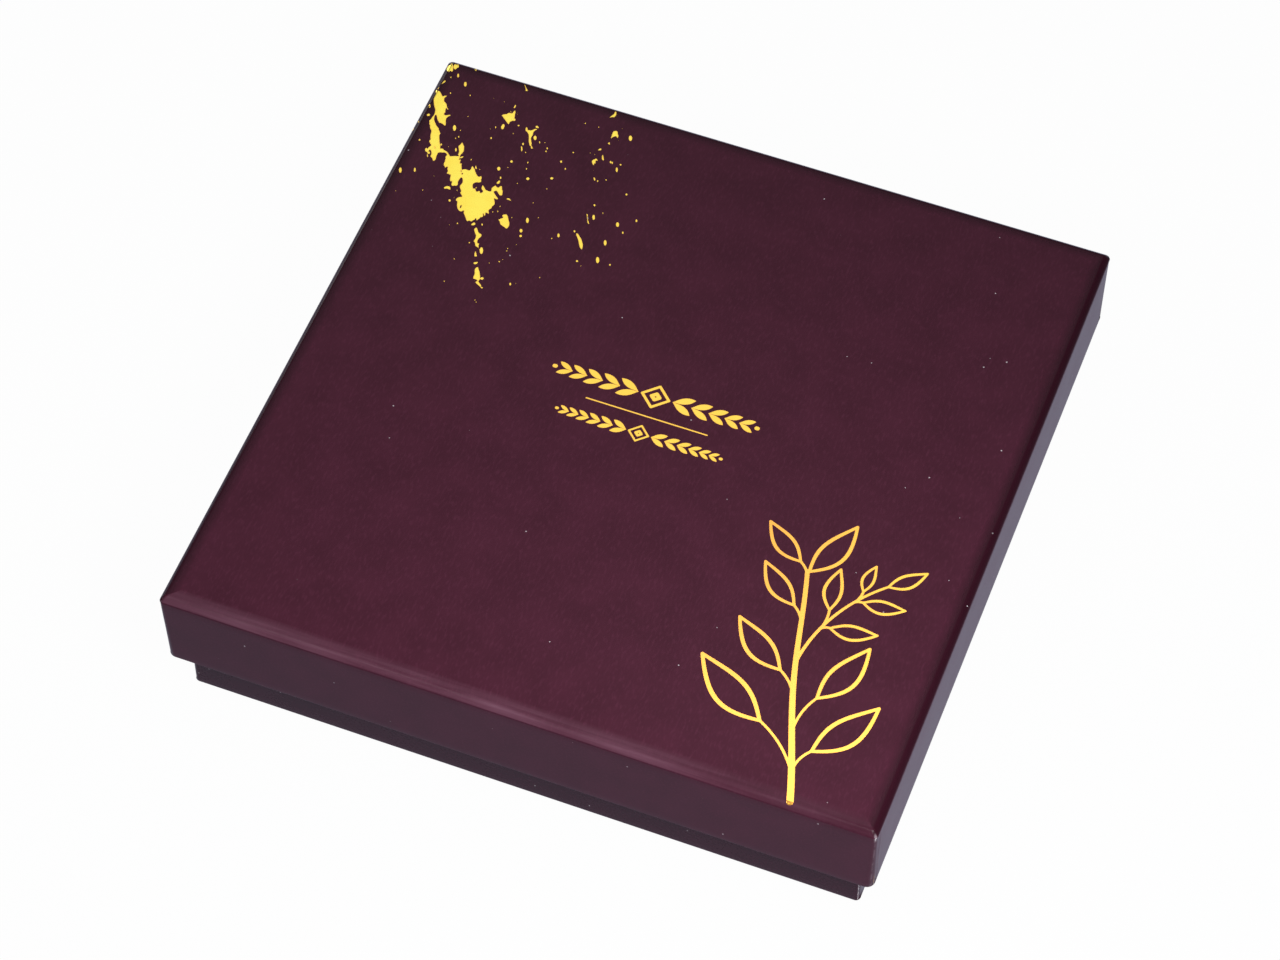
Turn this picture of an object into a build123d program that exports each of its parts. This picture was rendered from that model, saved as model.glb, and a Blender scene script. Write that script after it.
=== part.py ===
"""Rigid chocolate box with a lift-off lid, as a box maker builds it.

The lid and the base are each one blank of greyboard, scored half through, folded and held at its
corners by paper stays, then covered in a printed wrap whose edges turn in over the rim. The base is
taller than the lid, so a band of it shows below the lid, and the lid's panel rests on the base's rim.
Inside stand a slotted card divider for sixteen pralines and an embossed padding sheet on top of it.

Millimetres, +Z up, +X along the front edge, the origin at the middle of the underside.
"""

import os
from math import radians, sqrt, tan

from build123d import *

os.makedirs("parts", exist_ok=True)

# Outside of the box
lid_length = 160.0
lid_width = 160.0
lid_height = 22.1
base_height = 34.4
# Air between the base's outside and the lid's inside, on each side
lid_fit = 1.1

# Boards and papers
board_thickness = 2.0
wrap_thickness = 0.2
liner_thickness = 0.2
bottom_sheet_thickness = 0.2
# Depth of the score that lets a wall fold, cut from the outside of the board
score_depth = 1.0
# Open joint between two walls at a corner, before the stay bridges it
corner_joint = 0.2

# Paper stays that hold the corners, pressed flush into the board
stay_width = 15.0
stay_thickness = 0.15
stay_end_gap = 1.0

# The wrap's soft folds along the score and over the rim
fold_round = 0.5
rim_round = 0.3
# Bare board left between the edge of the turned-in wrap and the liner
bare_band = 1.5
# Wrap turned under the base's floor, before the bottom sheet is glued over it
under_margin = 15.0
# Cut between two turned-in edges at an inside corner
mitre_gap = 0.3
# Seam on the two end walls, where the wrap laps over the tab that comes round the corner
lap_inset = 2.4
lap_gap = 0.3
lap_depth = 0.08

# Sheet glued under the base, and the gap round the sheets that line the lid and the base
bottom_sheet_inset = 2.5
bottom_sheet_corner = 3.0
liner_gap = 0.2

# Slotted divider
cell_count_across = 4
cell_count_deep = 4
card_thickness = 0.9
slot_play = 0.1
slot_relief = 0.2
slot_lead_in = 0.8
strip_gap = 0.4
strip_corner = 2.0

# Padding sheet, quilted on both faces
pad_thickness = 3.6
pad_crown = 0.8
pad_gap = 1.1
pad_seat_gap = 0.3
pad_headroom = 0.9
pad_corner = 4.0
quilt_count_across = 7
quilt_count_deep = 7

# How far a cut runs past what it cuts
overrun = 1.0

# Worked out from the sizes above
skin_and_board = wrap_thickness + board_thickness
wall_stack = skin_and_board + wrap_thickness
total_height = base_height + liner_thickness + skin_and_board
base_length = lid_length - 2 * (wall_stack + lid_fit)
base_width = lid_width - 2 * (wall_stack + lid_fit)
base_floor = bottom_sheet_thickness + skin_and_board + liner_thickness
inner_length = base_length - 2 * wall_stack
inner_width = base_width - 2 * wall_stack
lid_turn_in = lid_height - skin_and_board - liner_thickness - bare_band
base_turn_in = base_height - base_floor - bare_band
divider_height = base_height - base_floor - pad_headroom - pad_thickness - pad_seat_gap
cell_length = (inner_length - (cell_count_across - 1) * card_thickness) / cell_count_across
cell_width = (inner_width - (cell_count_deep - 1) * card_thickness) / cell_count_deep
pitch_x = cell_length + card_thickness
pitch_y = cell_width + card_thickness
# A wrap laid at 45 degrees over the open score makes a bevel this wide outside
wrap_bevel = score_depth + wrap_thickness * (1 - tan(radians(45 / 2)))

# Each tray is drawn on the plane of its floor's outside, with the normal towards its mouth
base_under = Plane.XY.offset(bottom_sheet_thickness)
lid_top = Plane((0, 0, total_height), x_dir=(1, 0, 0), z_dir=(0, 0, -1))
corners = {
    "front_left": (-1, -1),
    "front_right": (1, -1),
    "back_right": (1, 1),
    "back_left": (-1, 1),
}


def finish(piece, name):
    """Label a finished piece and write its STEP file."""
    piece.part.label = name
    export_step(piece.part, f"parts/{name}.step")


def upright_plane_x(y, z):
    """Upright plane along the box, facing the front."""
    return Plane((0, y, z), x_dir=(1, 0, 0), z_dir=(0, -1, 0))


def upright_plane_y(x, z):
    """Upright plane across the box, facing right."""
    return Plane((x, 0, z), x_dir=(0, 1, 0), z_dir=(1, 0, 0))


def board_space(floor, length, width, height):
    """Space under the wrap: a block whose folded edges are bevelled from lip to lip of the open score."""
    up = Axis(floor.origin, floor.z_dir)
    with BuildPart() as space:
        with BuildSketch(floor):
            Rectangle(length, width)
            chamfer(vertices(), score_depth)
        extrude(amount=height)
        chamfer(faces().sort_by(up)[0].edges(), score_depth)
    return space


def folded_board(floor, length, width, height):
    """Greyboard tray: a floor scored on its outside and four walls folded up from it."""
    with BuildPart() as tray:
        with BuildSketch(floor):
            Rectangle(length, width)
        extrude(amount=height)
        with BuildSketch(floor.offset(board_thickness)):
            Rectangle(length - 2 * board_thickness, width - 2 * board_thickness)
        extrude(amount=height, mode=Mode.SUBTRACT)
        # The score opens into a step along the four folds of the floor
        with BuildSketch(floor):
            Rectangle(length + overrun, width + overrun)
            Rectangle(length - 2 * score_depth, width - 2 * score_depth, mode=Mode.SUBTRACT)
        extrude(amount=score_depth, mode=Mode.SUBTRACT)
        # The same step runs up each corner, where two folded walls meet
        with BuildSketch(floor):
            with GridLocations(length - score_depth, width - score_depth, 2, 2):
                Rectangle(score_depth, score_depth)
        extrude(amount=height, mode=Mode.SUBTRACT)
        # The walls stay cut apart there, at 45 degrees
        joint_place = (score_depth + board_thickness) / 2
        joint_length = sqrt(2) * board_thickness
        with BuildSketch(floor.offset(board_thickness)):
            for side_x, side_y in corners.values():
                with Locations((side_x * (length / 2 - joint_place), side_y * (width / 2 - joint_place))):
                    Rectangle(joint_length, corner_joint, rotation=45 * side_x * side_y)
        extrude(amount=height, mode=Mode.SUBTRACT)
        # Shallow seats that the stays are pressed into
        with BuildSketch(floor.offset(score_depth + stay_end_gap)):
            with GridLocations(length - stay_thickness, width - stay_width, 2, 2):
                Rectangle(stay_thickness, stay_width)
            with GridLocations(length - stay_width, width - stay_thickness, 2, 2):
                Rectangle(stay_width, stay_thickness)
        extrude(amount=height - score_depth - 2 * stay_end_gap, mode=Mode.SUBTRACT)
        # The floor's corners are pressed down flush under the wrap
        add(board_space(floor, length, width, height).part, mode=Mode.INTERSECT)
    return tray


def corner_stay(floor, length, width, height, side_x, side_y):
    """Paper tape bent round one upright corner of a folded board, drawn tight over the open step."""

    def bent_line(depth):
        """The tape's line at this depth under the board's outside."""
        x = length / 2 - depth
        y = width / 2 - depth
        turn_x = length / 2 - score_depth
        turn_y = width / 2 - score_depth
        end_x = length / 2 - stay_width
        end_y = width / 2 - stay_width
        return [(x, end_y), (x, turn_y), (turn_x, y), (end_x, y)]

    outline = bent_line(0) + bent_line(stay_thickness)[::-1]
    with BuildPart() as stay:
        with BuildSketch(floor.offset(score_depth + stay_end_gap)):
            with BuildLine():
                Polyline(*[(side_x * x, side_y * y) for x, y in outline], close=True)
            make_face()
        extrude(amount=height - score_depth - 2 * stay_end_gap)
    return stay


def wrap_skin(floor, length, width, height, turn_in, margin=None):
    """Wrap round a folded board: floor, bevelled folds, walls, rim and the edges turned in below it.

    With a margin, the floor is left open but for a strip of that width along its four sides.
    """
    inside_length = length - 2 * skin_and_board
    inside_width = width - 2 * skin_and_board
    mouth_length = length - 2 * wall_stack
    mouth_width = width - 2 * wall_stack
    up = Axis(floor.origin, floor.z_dir)
    board_length = length - 2 * wrap_thickness
    board_width = width - 2 * wrap_thickness
    board_height = height - 2 * wrap_thickness
    board = board_space(floor.offset(wrap_thickness), board_length, board_width, board_height)
    with BuildPart() as skin:
        with BuildSketch(floor):
            Rectangle(length, width)
            chamfer(vertices(), wrap_bevel)
        extrude(amount=height)
        chamfer(faces().sort_by(up)[0].edges(), wrap_bevel)
        fillet(edges() - faces().sort_by(up)[-1].edges(), fold_round)
        fillet(faces().sort_by(up)[-1].edges(), rim_round)
        add(board.part, mode=Mode.SUBTRACT)
        # The mouth, with the wrap turned in over the rim and down the inside of the walls
        with BuildSketch(floor.offset(height - wrap_thickness)):
            Rectangle(mouth_length, mouth_width)
        extrude(amount=wrap_thickness, mode=Mode.SUBTRACT)
        with BuildSketch(floor.offset(height - turn_in)):
            Rectangle(inside_length, inside_width)
            Rectangle(mouth_length, mouth_width, mode=Mode.SUBTRACT)
        extrude(amount=turn_in - wrap_thickness)
        # The four turned-in edges are cut apart at the inside corners
        cut = wrap_thickness + mitre_gap
        with BuildSketch(floor.offset(height - turn_in)):
            with GridLocations(inside_length - cut, inside_width - cut, 2, 2):
                Rectangle(cut, cut)
        extrude(amount=turn_in, mode=Mode.SUBTRACT)
        # Lap seams near the corners of the two end walls
        with BuildSketch(floor.offset(wrap_bevel + fold_round)):
            with GridLocations(length, width - 2 * lap_inset, 2, 2):
                Rectangle(2 * lap_depth, lap_gap)
        extrude(amount=height - wrap_bevel - fold_round - rim_round, mode=Mode.SUBTRACT)
        if margin:
            with BuildSketch(floor):
                Rectangle(length - 2 * margin, width - 2 * margin)
            extrude(amount=wrap_thickness, mode=Mode.SUBTRACT)
    return skin


def sheet(floor, length, width, thickness, corner=0):
    """Flat sheet of paper on a plane."""
    with BuildPart() as paper:
        with BuildSketch(floor):
            Rectangle(length, width)
            if corner:
                fillet(vertices(), corner)
        extrude(amount=thickness)
    return paper


def slotted_strip(middle, length, pitch, count, slot_side):
    """Card strip standing on its lower edge, half slotted from above (1) or from below (-1)."""
    slot_width = card_thickness + slot_play
    slot_depth = divider_height / 2 + slot_relief
    mouth = slot_side * divider_height / 2
    with BuildPart() as strip:
        with BuildSketch(middle):
            Rectangle(length, divider_height)
            fillet(vertices(), strip_corner)
            with Locations((0, mouth - slot_side * slot_depth / 2)):
                with GridLocations(pitch, 0, count, 1):
                    Rectangle(slot_width, slot_depth, mode=Mode.SUBTRACT)
            # The mouth of each slot flares, so that the other strip finds its way in
            with Locations((0, mouth)):
                with GridLocations(pitch, 0, count, 1):
                    flare = slot_width + 2 * slot_lead_in
                    Rectangle(flare / sqrt(2), flare / sqrt(2), rotation=45, mode=Mode.SUBTRACT)
        extrude(amount=card_thickness / 2, both=True)
    return strip


# Base tray
board_in_base = (base_length - 2 * wrap_thickness, base_width - 2 * wrap_thickness)
base_wrap_height = base_height - bottom_sheet_thickness
base_board_height = base_wrap_height - 2 * wrap_thickness
base_board_under = base_under.offset(wrap_thickness)
finish(folded_board(base_board_under, *board_in_base, base_board_height), "base_board")
for corner_name, (side_x, side_y) in corners.items():
    base_stay = corner_stay(base_board_under, *board_in_base, base_board_height, side_x, side_y)
    finish(base_stay, f"base_corner_stay_{corner_name}")
base_wrap = wrap_skin(
    base_under, base_length, base_width, base_wrap_height, base_turn_in, margin=under_margin
)
finish(base_wrap, "base_wrap")
base_bottom_sheet = sheet(
    Plane.XY,
    base_length - 2 * bottom_sheet_inset,
    base_width - 2 * bottom_sheet_inset,
    bottom_sheet_thickness,
    bottom_sheet_corner,
)
finish(base_bottom_sheet, "base_bottom_sheet")
base_liner = sheet(
    Plane.XY.offset(base_floor - liner_thickness),
    inner_length - 2 * liner_gap,
    inner_width - 2 * liner_gap,
    liner_thickness,
)
finish(base_liner, "base_liner")

# Slotted divider: strips along the box, slotted from above, and strips across it, slotted from below
divider_middle = base_floor + divider_height / 2
for row in range(1, cell_count_deep):
    strip_plane = upright_plane_x((row - cell_count_deep / 2) * pitch_y, divider_middle)
    long_strip = slotted_strip(strip_plane, inner_length - 2 * strip_gap, pitch_x, cell_count_across - 1, 1)
    finish(long_strip, f"divider_long_strip_{row}")
for column in range(1, cell_count_across):
    strip_plane = upright_plane_y((column - cell_count_across / 2) * pitch_x, divider_middle)
    cross_strip = slotted_strip(strip_plane, inner_width - 2 * strip_gap, pitch_y, cell_count_deep - 1, -1)
    finish(cross_strip, f"divider_cross_strip_{column}")

# Padding sheet: two rows of crowned channels, crossed, leave a field of small pillows
pad_length = inner_length - 2 * pad_gap
pad_width = inner_width - 2 * pad_gap
pad_middle = base_floor + divider_height + pad_seat_gap + pad_thickness / 2


def quilted_section(middle, span, count):
    """Section of the padding sheet, crowned above and below between its pressed channels."""
    pillow = span / count
    channel = pad_thickness / 2 - pad_crown
    with BuildSketch(middle) as section:
        with BuildLine():
            for index in range(count):
                start = -span / 2 + index * pillow
                for face in (-1, 1):
                    crest = (start + pillow / 2, face * pad_thickness / 2)
                    ThreePointArc((start, face * channel), crest, (start + pillow, face * channel))
            for end in (-span / 2, span / 2):
                Line((end, -channel), (end, channel))
        make_face()
    return section.sketch


with BuildPart() as cushion_pad:
    along = quilted_section(upright_plane_x(0, pad_middle), pad_length, quilt_count_across)
    extrude(along, amount=pad_width / 2, both=True)
    across = quilted_section(upright_plane_y(0, pad_middle), pad_width, quilt_count_deep)
    extrude(across, amount=pad_length / 2, both=True, mode=Mode.INTERSECT)
    with BuildSketch(Plane.XY.offset(pad_middle - pad_thickness / 2)):
        Rectangle(pad_length, pad_width)
        fillet(vertices(), pad_corner)
    extrude(amount=pad_thickness, mode=Mode.INTERSECT)
finish(cushion_pad, "cushion_pad")

# Lid tray, drawn mouth down, so that its own Y runs towards the front
board_in_lid = (lid_length - 2 * wrap_thickness, lid_width - 2 * wrap_thickness)
lid_board_height = lid_height - 2 * wrap_thickness
lid_board_top = lid_top.offset(wrap_thickness)
finish(folded_board(lid_board_top, *board_in_lid, lid_board_height), "lid_board")
for corner_name, (side_x, side_y) in corners.items():
    lid_stay = corner_stay(lid_board_top, *board_in_lid, lid_board_height, side_x, -side_y)
    finish(lid_stay, f"lid_corner_stay_{corner_name}")
finish(wrap_skin(lid_top, lid_length, lid_width, lid_height, lid_turn_in), "lid_wrap")
lid_liner = sheet(
    lid_top.offset(skin_and_board),
    lid_length - 2 * (wall_stack + liner_gap),
    lid_width - 2 * (wall_stack + liner_gap),
    liner_thickness,
)
finish(lid_liner, "lid_liner")
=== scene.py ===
"""Chocolate box in a satin burgundy wrap with gold foil: the finish of every piece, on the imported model.

Metres, +Z up, +X along the front edge and the origin at the middle of the underside, as in the model.
The sections follow the box as it is put together, from the boards out to the foil on the lid.
"""

import math

import bmesh
import bpy
import numpy as np
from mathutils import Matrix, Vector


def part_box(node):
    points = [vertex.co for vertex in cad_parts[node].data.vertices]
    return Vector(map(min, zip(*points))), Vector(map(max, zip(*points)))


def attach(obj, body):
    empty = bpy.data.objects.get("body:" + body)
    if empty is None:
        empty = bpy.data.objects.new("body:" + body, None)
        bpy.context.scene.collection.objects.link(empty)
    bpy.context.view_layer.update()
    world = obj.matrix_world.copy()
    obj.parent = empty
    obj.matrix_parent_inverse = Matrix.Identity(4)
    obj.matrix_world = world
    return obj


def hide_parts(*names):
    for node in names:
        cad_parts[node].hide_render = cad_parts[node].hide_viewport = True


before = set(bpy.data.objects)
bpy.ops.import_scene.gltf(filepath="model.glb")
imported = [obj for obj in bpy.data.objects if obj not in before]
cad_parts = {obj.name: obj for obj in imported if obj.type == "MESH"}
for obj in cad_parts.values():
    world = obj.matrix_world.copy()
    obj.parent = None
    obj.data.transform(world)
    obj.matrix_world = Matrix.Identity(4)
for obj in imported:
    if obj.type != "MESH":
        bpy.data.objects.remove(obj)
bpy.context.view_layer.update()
mm = 0.001

# Greyboard of the base and the lid: pressed waste paper, scored, folded and left bare inside.
# It shows only as a thin band between the turned-in wrap and the liner, so its finish is grey pulp
# with pale fibres, dark flecks and a dull, slightly rough surface.


class Shade:
    """One socket of a finish, so that shader maths on it reads as an expression."""

    def __init__(self, finish, socket):
        self.finish = finish
        self.socket = socket

    def maths(self, operation, *values):
        return self.finish.node("ShaderNodeMath", {"operation": operation}, dict(enumerate(values)))

    def __add__(self, other):
        return self.maths("ADD", self, other)

    def __sub__(self, other):
        return self.maths("SUBTRACT", self, other)

    def __rsub__(self, other):
        return self.maths("SUBTRACT", other, self)

    def __mul__(self, other):
        return self.maths("MULTIPLY", self, other)

    __radd__ = __add__
    __rmul__ = __mul__

    def rise(self, low, high):
        """0 up to low, 1 from high on, and a smooth step between them."""
        settings = {"interpolation_type": "SMOOTHSTEP"}
        return self.finish.node("ShaderNodeMapRange", settings, {"Value": self, 1: low, 2: high})


class Finish:
    """A material or a world in the making, with one method that adds any node."""

    def __init__(self, made):
        made.use_nodes = True
        self.made = made
        self.tree = made.node_tree
        self.tree.nodes.clear()
        self.place = self.node("ShaderNodeTexCoord", output="Object")

    def node(self, kind, settings=(), sockets=(), output=0):
        """Adds a node: its settings first, and then its sockets' values or links."""
        node = self.tree.nodes.new(kind)
        for name, value in dict(settings).items():
            setattr(node, name, value)
        for name, value in dict(sockets).items():
            if isinstance(value, Shade):
                self.tree.links.new(value.socket, node.inputs[name])
            else:
                node.inputs[name].default_value = value
        return Shade(self, node.outputs[output]) if len(node.outputs) else None

    def noise(self, grain, detail=4.0, stretch=(1, 1, 1)):
        """Cloudy noise whose blobs are about one grain long, stretched along the axes."""
        place = self.node("ShaderNodeMapping", {}, {"Vector": self.place, "Scale": stretch})
        return self.node("ShaderNodeTexNoise", {}, {"Vector": place, "Scale": 1 / grain, "Detail": detail})

    def mix(self, share, first, second):
        """Colour between two colours, by a share from 0 to 1. Sockets 6 and 7 of the node take them."""
        colours = {0: share}
        for socket, colour in ((6, first), (7, second)):
            colours[socket] = colour if isinstance(colour, Shade) else (*colour, 1)
        return self.node("ShaderNodeMix", {"data_type": "RGBA"}, colours, output=2)

    def finished(self, sockets, relief=None, depth=0.0):
        """Ends the finish in one surface shader, its relief of 0 to 1 pressed to a depth in metres."""
        if relief is not None:
            sockets["Normal"] = self.node("ShaderNodeBump", {}, {"Height": relief, "Distance": depth})
        shader = self.node("ShaderNodeBsdfPrincipled", {}, sockets)
        self.node("ShaderNodeOutputMaterial", {}, {"Surface": shader})
        return self.made


def dress(material, *nodes):
    """Gives a finish to pieces that keep the model's own shape."""
    for node in nodes:
        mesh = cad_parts[node].data
        mesh.materials.clear()
        mesh.materials.append(material)


def greyboard():
    """Grey pulp: a cloudy ground with long pale fibres and dark flecks over it."""
    finish = Finish(bpy.data.materials.new("greyboard"))
    pulp = finish.noise(3.0 * mm, 6)
    fibre = finish.noise(0.5 * mm, 3, (1, 0.25, 1)).rise(0.56, 0.7)
    fleck = finish.noise(0.8 * mm, 2).rise(0.68, 0.74)
    ground = finish.mix(pulp.rise(0.3, 0.7), (0.23, 0.21, 0.185), (0.36, 0.335, 0.3))
    colour = finish.mix(fibre * 0.5, ground, (0.5, 0.47, 0.42))
    colour = finish.mix(fleck * 0.7, colour, (0.09, 0.085, 0.08))
    return finish.finished({"Base Color": colour, "Roughness": 0.88}, pulp + fibre * 0.5, 0.06 * mm)


dress(greyboard(), "base_board", "lid_board")

# Corner stays: gummed kraft tape that holds two folded walls together at each upright corner.
# It lies flush in the board and under the wrap, so it shows only if the box is taken apart.
board_corners = ("front_left", "front_right", "back_right", "back_left")


def kraft_tape():
    """Brown kraft with ribs from the machine and a few darker fibres."""
    finish = Finish(bpy.data.materials.new("kraft_tape"))
    wave = {"Vector": finish.place, "Scale": 0.35 / mm, "Distortion": 2.0}
    ribs = finish.node("ShaderNodeTexWave", {"bands_direction": "Z"}, wave)
    fibre = finish.noise(0.6 * mm, 4, (1, 1, 0.3))
    colour = finish.mix(fibre.rise(0.35, 0.7), (0.30, 0.185, 0.095), (0.44, 0.30, 0.17))
    return finish.finished({"Base Color": colour, "Roughness": 0.72}, ribs * 0.4 + fibre, 0.03 * mm)


stay_nodes = [f"{tray}_corner_stay_{corner}" for tray in ("base", "lid") for corner in board_corners]
dress(kraft_tape(), *stay_nodes)

# Liners: uncoated ivory paper pasted on the floor of the base and on the inside of the lid's panel.
# Fine fibres and a faint tooth are all that it shows.


def lining_paper():
    """Ivory paper with a soft cloudy look-through."""
    finish = Finish(bpy.data.materials.new("lining_paper"))
    cloud = finish.noise(6.0 * mm, 5)
    tooth = finish.noise(0.35 * mm, 4)
    colour = finish.mix(cloud.rise(0.3, 0.7), (0.72, 0.67, 0.57), (0.80, 0.76, 0.67))
    return finish.finished({"Base Color": colour, "Roughness": 0.8}, cloud * 0.3 + tooth, 0.02 * mm)


dress(lining_paper(), "base_liner", "lid_liner")

# Wraps of the base and the lid: printed paper with a clear satin film, folded over the board, drawn
# round the corners and turned in over the rim. The film gives the soft sheen, and it whitens a little
# where it is creased. The end flaps lap over the tabs that come round from the long sides.
wrap_thickness = 0.2 * mm
shown_thickness = 0.15 * mm
board_thickness = 2.0 * mm
bevel_width = 1.12 * mm
bevel_round_above, bevel_round_below = 1.3 * mm, 1.0 * mm
rim_round = 0.3 * mm
fold_corner_round, rim_corner_round = 1.0 * mm, 1.85 * mm
inside_corner_round = 0.15 * mm
wall_stack = 2 * wrap_thickness + board_thickness
profile_spacing = 2.0 * mm
arc_step = math.radians(12)
merge_distance = 0.002 * mm
face_slack, turn_in_slack = 0.01 * mm, 0.1 * mm
lap_inset = 2.4 * mm
lap_step, lap_blur, lap_edge_width = 0.09 * mm, 0.1 * mm, 0.14 * mm
slant_depth, slant_pitch = 0.25 * mm, 3.1 * mm
ripple_depth, ripple_fade = 0.022 * mm, 4 * mm
ripple_lengths = (1.3 * mm, 2.1 * mm, 3.7 * mm)
corner_wear, rim_wear_reach = 0.55, 0.25 * mm


def rounded_path(points, radii, spacing):
    """Points along straight runs whose corners are arcs, as complex numbers.

    An arc of radius r leaves its corner r times the tangent of half the turn away, on both runs.
    """
    pieces = [np.array([points[0]])]
    for before, corner, after, radius in zip(points, points[1:], points[2:], radii):
        into = (corner - before) / abs(corner - before)
        out = (after - corner) / abs(after - corner)
        turn = np.angle(out / into)
        cut = radius * abs(math.tan(turn / 2))
        centre = corner - into * cut + 1j * into * radius * np.sign(turn)
        sweep = np.linspace(0, turn, max(2, 1 + round(abs(turn) / arc_step)))
        pieces.append(centre + (corner - into * cut - centre) * np.exp(1j * sweep))
    pieces.append(np.array([points[-1]]))
    corners = np.concatenate(pieces)
    runs = [np.array([corners[0]])]
    for start, end in zip(corners, corners[1:]):
        steps = max(1, math.ceil(abs(end - start) / spacing))
        runs.append(start + (end - start) * np.linspace(0, 1, steps + 1)[1:])
    return np.concatenate(runs)


def square_stations(side_steps, corner_steps):
    """Stations round a square, as complex numbers: where each stands, from -1 to 1, and which way it faces.

    A side's stations crowd towards its ends as a sine does, and a corner's turn through a quarter circle.
    """
    along = np.sin(np.linspace(-1, 1, side_steps) * math.pi / 2)
    turn = np.linspace(0, math.pi / 2, corner_steps + 2)[1:-1]
    stand = np.concatenate([1 + 1j * along, np.full(corner_steps, 1 + 1j)])
    face = np.concatenate([np.ones(side_steps), np.exp(1j * turn)])
    quarter = 1j ** np.arange(4)[:, None]
    return (quarter * stand).ravel(), (quarter * face).ravel()


def new_piece(name, points, faces, material, body, marks=()):
    """A mesh piece from points in metres and faces, its doubles merged, that rides on a body of the model.

    Each mark, a name with one number for each point, is kept on the mesh for the finish to read.
    """
    mesh = bpy.data.meshes.new(name)
    mesh.from_pydata(points.reshape(-1, 3).tolist(), [], faces.tolist())
    for mark, values in dict(marks).items():
        values = np.broadcast_to(values, points.shape[:-1]).astype(np.float32)
        mesh.attributes.new(mark, "FLOAT", "POINT").data.foreach_set("value", values.ravel())
    shell = bmesh.new()
    shell.from_mesh(mesh)
    bmesh.ops.remove_doubles(shell, verts=shell.verts, dist=merge_distance)
    shell.to_mesh(mesh)
    shell.free()
    mesh.shade_smooth()
    mesh.materials.append(material)
    piece = bpy.data.objects.new(name, mesh)
    bpy.context.scene.collection.objects.link(piece)
    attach(piece, body)
    return piece


def give_thickness(piece, thickness):
    """Thickens a sheet behind its drawn face, which stays where it is, and closes its edges."""
    thicken = piece.modifiers.new("thickness", "SOLIDIFY")
    thicken.thickness = thickness
    thicken.offset = -1


def grid_quads(rows, columns, closed, flipped=False):
    """Faces of a grid of points, row by row; a closed grid joins its last column to its first."""
    index = np.arange(rows * columns).reshape(rows, columns)
    if closed:
        index = np.hstack([index, index[:, :1]])
    ring = [index[:-1, :-1], index[1:, :-1], index[1:, 1:], index[:-1, 1:]]
    return np.stack(ring[::-1] if flipped else ring, -1).reshape(-1, 4)


def drawn_paper(half_length, half_width, profile, radii, side_steps=70, corner_steps=9):
    """Paper drawn round a tray: a profile of set-in and height, carried round a rounded rectangle.

    At each station the point is the station's place on the rectangle, less the set-in and the corner's
    radius, plus that radius along the way that the station faces.
    """
    stand, face = square_stations(side_steps, corner_steps)
    set_in = profile.real[:, None]
    radius = radii[:, None]
    x = stand.real * np.maximum(half_length - set_in - radius, 0) + radius * face.real
    y = stand.imag * np.maximum(half_width - set_in - radius, 0) + radius * face.imag
    z = np.broadcast_to(profile.imag[:, None], x.shape)
    return np.stack([x, y, z], -1), face


def press_laps(points, face, half_width, on_wall, seed):
    """Paper's own thickness at the laps of the two end walls, and the tabs' ripples beside them.

    From the lap to the corner the wall lies lower by the lap's height, after a smooth step, and ripples
    there as a sum of sines that fades away from the corner. What comes back is how creased the paper is:
    most at the lap's edge, and in the middle of a corner's turn.
    """
    draw = np.random.default_rng(seed)
    end_wall = np.abs(face.real)[None, :] * on_wall[:, None]
    from_corner = half_width - np.abs(points[..., 1])
    slant_phase = draw.uniform(0, 6, 4)[2]
    slant = slant_depth * np.sin(points[..., 2] / slant_pitch + slant_phase)
    from_lap = from_corner - lap_inset - slant
    tab = 0.5 - 0.5 * np.tanh(from_lap / lap_blur)
    ripple = np.zeros(tab.shape)
    for length in ripple_lengths:
        phase = draw.uniform(0, 2 * math.pi, 2)
        bend = points[..., 2] / (2.3 * length) + phase[1]
        ripple += np.sin(points[..., 1] / length * 2 * math.pi + 1.5 * np.sin(bend) + phase[0])
    fade = np.exp(-from_corner / ripple_fade)
    pressed_in = lap_step * tab + ripple_depth * (ripple + len(ripple_lengths)) * fade
    points[..., 0] -= np.sign(points[..., 0]) * end_wall * pressed_in
    lap_edge = np.exp(-((from_lap / lap_edge_width) ** 2)) * end_wall
    mid_turn = np.abs(2 * face.real * face.imag)[None, :] ** 20
    return lap_edge + corner_wear * on_wall[:, None] * mid_turn


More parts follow.
